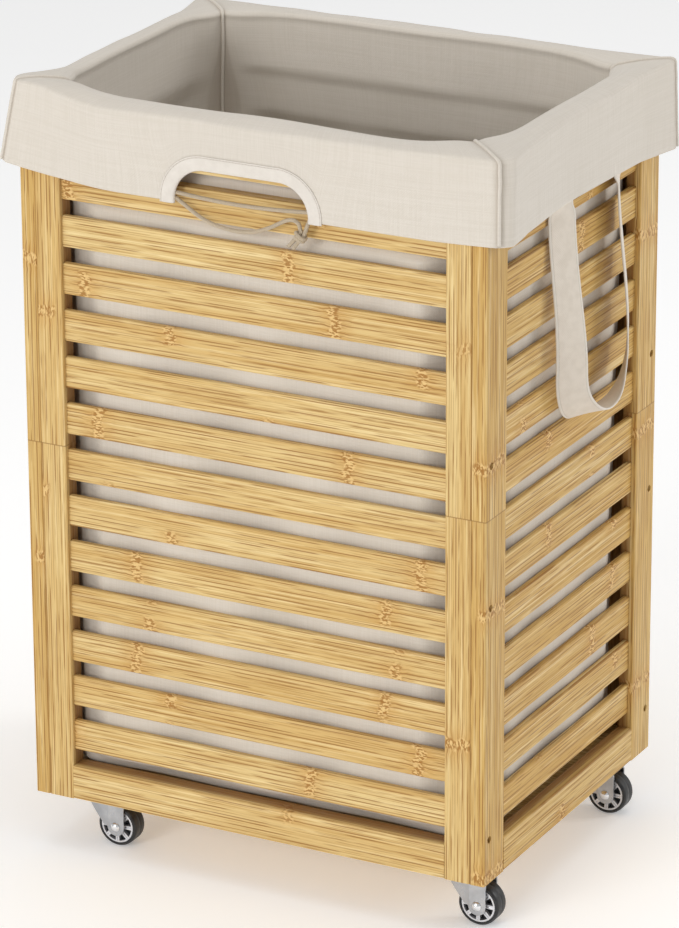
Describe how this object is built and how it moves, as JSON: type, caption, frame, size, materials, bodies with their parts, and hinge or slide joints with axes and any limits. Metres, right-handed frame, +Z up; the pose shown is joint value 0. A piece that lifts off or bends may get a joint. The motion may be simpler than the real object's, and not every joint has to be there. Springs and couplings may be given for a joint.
{
  "type": "laundry hamper",
  "caption": "Slatted bamboo laundry hamper on swivel casters, with a lift-out cloth liner folded over the rim, side straps and drawstrings.",
  "frame": {"origin": "on the floor under the middle of the object", "axes": "+Z up, -Y the front with the visible hand opening, +X the user's right when facing the front"},
  "size_m": [0.5002, 0.363, 0.6945],
  "materials": {
    "bamboo_frame": "clear satin lacquer",
    "bamboo_slats": "clear satin lacquer",
    "bamboo_board": "clear matt lacquer",
    "screw_steel": "zinc plated",
    "caster_steel": "zinc plated pressing",
    "bolt_steel": "zinc plated",
    "wheel_hub": "silver moulded spokes",
    "wheel_tyre": "black rubber, satin",
    "liner_cloth": "cotton and linen plain weave",
    "binding_tape": "folded cotton tape",
    "strap_webbing": "cotton twill tape",
    "drawstring_cord": "waxed round cord"
  },
  "bodies": {
    "frame": {"left_front_stile": "bamboo_frame", "left_back_stile": "bamboo_frame", "left_top_rail": "bamboo_frame", "left_bottom_rail": "bamboo_frame", "left_slats": "bamboo_slats", "right_front_stile": "bamboo_frame", "right_back_stile": "bamboo_frame", "right_top_rail": "bamboo_frame", "right_bottom_rail": "bamboo_frame", "right_slats": "bamboo_slats", "front_left_stile": "bamboo_frame", "front_right_stile": "bamboo_frame", "front_top_rail": "bamboo_frame", "front_bottom_rail": "bamboo_frame", "front_slats": "bamboo_slats", "back_left_stile": "bamboo_frame", "back_right_stile": "bamboo_frame", "back_top_rail": "bamboo_frame", "back_bottom_rail": "bamboo_frame", "back_slats": "bamboo_slats", "grip_slats": "bamboo_slats", "base_battens": "bamboo_frame", "base_board": "bamboo_board", "panel_screws": "screw_steel", "caster_plates": "caster_steel", "caster_screws": "screw_steel"},
    "liner": {"liner_long_walls": "liner_cloth", "liner_end_walls": "liner_cloth", "liner_bottom": "liner_cloth", "cuff_front": "liner_cloth", "cuff_back": "liner_cloth", "cuff_left": "liner_cloth", "cuff_right": "liner_cloth", "front_binding": "binding_tape", "back_binding": "binding_tape", "hem_cords": "drawstring_cord", "front_draw_cord": "drawstring_cord", "front_knot": "drawstring_cord", "back_draw_cord": "drawstring_cord", "back_knot": "drawstring_cord"},
    "left_handle": {"left_strap": "strap_webbing"},
    "right_handle": {"right_strap": "strap_webbing"},
    "front_left_caster": {"front_left_fork": "caster_steel", "front_left_axle_bolt": "bolt_steel"},
    "front_left_wheel": {"front_left_hub": "wheel_hub", "front_left_tyre": "wheel_tyre"},
    "front_right_caster": {"front_right_fork": "caster_steel", "front_right_axle_bolt": "bolt_steel"},
    "front_right_wheel": {"front_right_hub": "wheel_hub", "front_right_tyre": "wheel_tyre"},
    "back_left_caster": {"back_left_fork": "caster_steel", "back_left_axle_bolt": "bolt_steel"},
    "back_left_wheel": {"back_left_hub": "wheel_hub", "back_left_tyre": "wheel_tyre"},
    "back_right_caster": {"back_right_fork": "caster_steel", "back_right_axle_bolt": "bolt_steel"},
    "back_right_wheel": {"back_right_hub": "wheel_hub", "back_right_tyre": "wheel_tyre"}
  },
  "joints": [
    {"name": "front_left_swivel", "type": "hinge", "parent": "frame", "child": "front_left_caster", "pos_m": [-0.178, -0.13, 0.045], "axis": [0, 0, 1], "continuous": true},
    {"name": "front_left_roll", "type": "hinge", "parent": "front_left_caster", "child": "front_left_wheel", "pos_m": [-0.156, -0.13, 0.019], "axis": [0, 1, 0], "continuous": true},
    {"name": "front_right_swivel", "type": "hinge", "parent": "frame", "child": "front_right_caster", "pos_m": [0.178, -0.13, 0.045], "axis": [0, 0, 1], "continuous": true},
    {"name": "front_right_roll", "type": "hinge", "parent": "front_right_caster", "child": "front_right_wheel", "pos_m": [0.2, -0.13, 0.019], "axis": [0, 1, 0], "continuous": true},
    {"name": "back_left_swivel", "type": "hinge", "parent": "frame", "child": "back_left_caster", "pos_m": [-0.178, 0.13, 0.045], "axis": [0, 0, 1], "continuous": true},
    {"name": "back_left_roll", "type": "hinge", "parent": "back_left_caster", "child": "back_left_wheel", "pos_m": [-0.156, 0.13, 0.019], "axis": [0, 1, 0], "continuous": true},
    {"name": "back_right_swivel", "type": "hinge", "parent": "frame", "child": "back_right_caster", "pos_m": [0.178, 0.13, 0.045], "axis": [0, 0, 1], "continuous": true},
    {"name": "back_right_roll", "type": "hinge", "parent": "back_right_caster", "child": "back_right_wheel", "pos_m": [0.2, 0.13, 0.019], "axis": [0, 1, 0], "continuous": true},
    {"name": "liner_lift", "type": "slide", "parent": "frame", "child": "liner", "axis": [0, 0, 1], "range_m": [0, 0.66]},
    {"name": "left_strap_swing", "type": "hinge", "parent": "liner", "child": "left_handle", "pos_m": [-0.2235, 0.02, 0.617], "axis": [0, 1, 0], "range_deg": [0, 120]},
    {"name": "right_strap_swing", "type": "hinge", "parent": "liner", "child": "right_handle", "pos_m": [0.2235, 0.02, 0.617], "axis": [0, -1, 0], "range_deg": [0, 120]}
  ]
}
